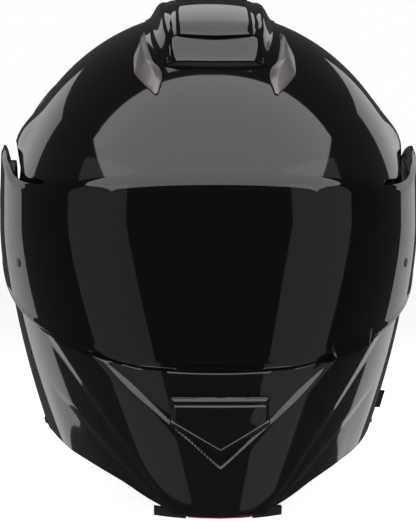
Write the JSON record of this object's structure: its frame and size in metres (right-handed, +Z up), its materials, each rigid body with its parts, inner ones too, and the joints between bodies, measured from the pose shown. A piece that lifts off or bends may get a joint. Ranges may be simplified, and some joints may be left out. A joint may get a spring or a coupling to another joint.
{
  "type": "modular motorcycle helmet",
  "caption": "Flip-up full-face helmet with hinged chin bar, tinted face shield, inner sun visor, sliding vents, padded liner and buckled chin strap.",
  "frame": {"origin": "on the resting plane, under the middle of the helmet's bounding box", "axes": "+Z up, the helmet faces -Y, +X to the wearer's left"},
  "size_m": [0.2538, 0.338, 0.3003],
  "materials": {
    "gloss": "deep gloss black lacquer",
    "satin": "satin black moulding",
    "vent": "warm grey metallic",
    "smoke": "dark smoke polycarbonate",
    "rubber": "soft black",
    "foam": null,
    "cloth": "brushed lining cloth",
    "webbing": "woven strap",
    "steel": "zinc plated",
    "red": "red moulding"
  },
  "bodies": {
    "shell": {"outer_shell": "gloss", "foam_liner": "foam", "crown_pad": "cloth", "cheek_pad_left": "cloth", "cheek_pad_right": "cloth", "neck_roll": "cloth", "rim_trim_left": "rubber", "rim_trim_right": "rubber", "brow_seal": "rubber", "top_vent_cowl": "gloss", "top_vent_scoop_left": "vent", "top_vent_scoop_right": "vent", "side_vent_left": "satin", "side_vent_right": "satin", "rear_spoiler": "gloss", "hinge_bush_left": "steel", "hinge_bush_right": "steel", "striker_plate_left": "steel", "striker_plate_right": "steel", "sun_visor_pin_left": "steel", "sun_visor_pin_right": "steel", "strap_post_left": "steel", "strap_post_right": "steel", "strap_left": "webbing", "strap_right": "webbing", "buckle_body": "satin", "buckle_tongue": "satin"},
    "chin_bar": {"chin_bar_shell": "gloss", "chin_bar_foam": "foam", "chin_bar_pad_left": "cloth", "chin_bar_pad_right": "cloth", "chin_bar_seal": "rubber", "breath_deflector": "rubber", "chin_curtain": "cloth", "chin_edge_trim_left": "rubber", "chin_edge_trim_right": "rubber"},
    "shield": {"face_shield": "smoke", "shield_insert_pin_left": "satin", "shield_insert_pin_right": "satin", "shield_lift_tab": "satin", "shield_cap_left": "satin", "shield_cap_right": "satin"},
    "vent_plate": {"chin_vent_plate": "gloss"},
    "top_slider": {"top_vent_slider": "gloss"},
    "sun_visor": {"sun_visor": "smoke"},
    "sun_lever": {"sun_visor_lever": "satin"},
    "release_button": {"release_button": "red"},
    "latch_left": {"latch_hook_left": "steel"},
    "latch_right": {"latch_hook_right": "steel"},
    "buckle_lever": {"buckle_lever": "red"}
  },
  "joints": [
    {"name": "chin_bar_hinge", "type": "hinge", "parent": "shell", "child": "chin_bar", "pos_m": [0, 0.008, 0.176], "axis": [-1, 0, 0], "range_deg": [0, 85]},
    {"name": "shield_hinge", "type": "hinge", "parent": "chin_bar", "child": "shield", "pos_m": [0, 0.008, 0.176], "axis": [-1, 0, 0], "range_deg": [0, 45]},
    {"name": "chin_vent_slide", "type": "slide", "parent": "chin_bar", "child": "vent_plate", "axis": [0, 0, -1], "range_m": [0, 0.005]},
    {"name": "top_vent_slide", "type": "hinge", "parent": "shell", "child": "top_slider", "pos_m": [0, 0.0014, 0.1313], "axis": [-1, 0, 0], "range_deg": [0, 2.5]},
    {"name": "sun_visor_hinge", "type": "hinge", "parent": "shell", "child": "sun_visor", "pos_m": [0, -0.014, 0.16], "axis": [1, 0, 0], "range_deg": [0, 40]},
    {"name": "sun_lever_slide", "type": "slide", "parent": "shell", "child": "sun_lever", "axis": [0, 1, 0], "range_m": [0, 0.02]},
    {"name": "release_push", "type": "slide", "parent": "chin_bar", "child": "release_button", "axis": [0, 1, 0], "range_m": [0, 0.003], "stiffness_N_per_m": 1500},
    {"name": "latch_left_hinge", "type": "hinge", "parent": "chin_bar", "child": "latch_left", "pos_m": [0.087, -0.078, 0.066], "axis": [1, 0, 0], "range_deg": [0, 5]},
    {"name": "latch_right_hinge", "type": "hinge", "parent": "chin_bar", "child": "latch_right", "pos_m": [-0.087, -0.078, 0.066], "axis": [1, 0, 0], "range_deg": [0, 5]},
    {"name": "buckle_lever_hinge", "type": "hinge", "parent": "shell", "child": "buckle_lever", "pos_m": [0.015, 0.008, 0.0072], "axis": [0, -1, 0], "range_deg": [0, 25], "stiffness_Nm_per_rad": 0.05}
  ],
  "couplings": [
    {"joint": "sun_lever_slide", "follows": "sun_visor_hinge", "m_per_rad": 0.02865},
    {"joint": "latch_left_hinge", "follows": "release_push", "rad_per_m": 29},
    {"joint": "latch_right_hinge", "follows": "release_push", "rad_per_m": 29}
  ]
}
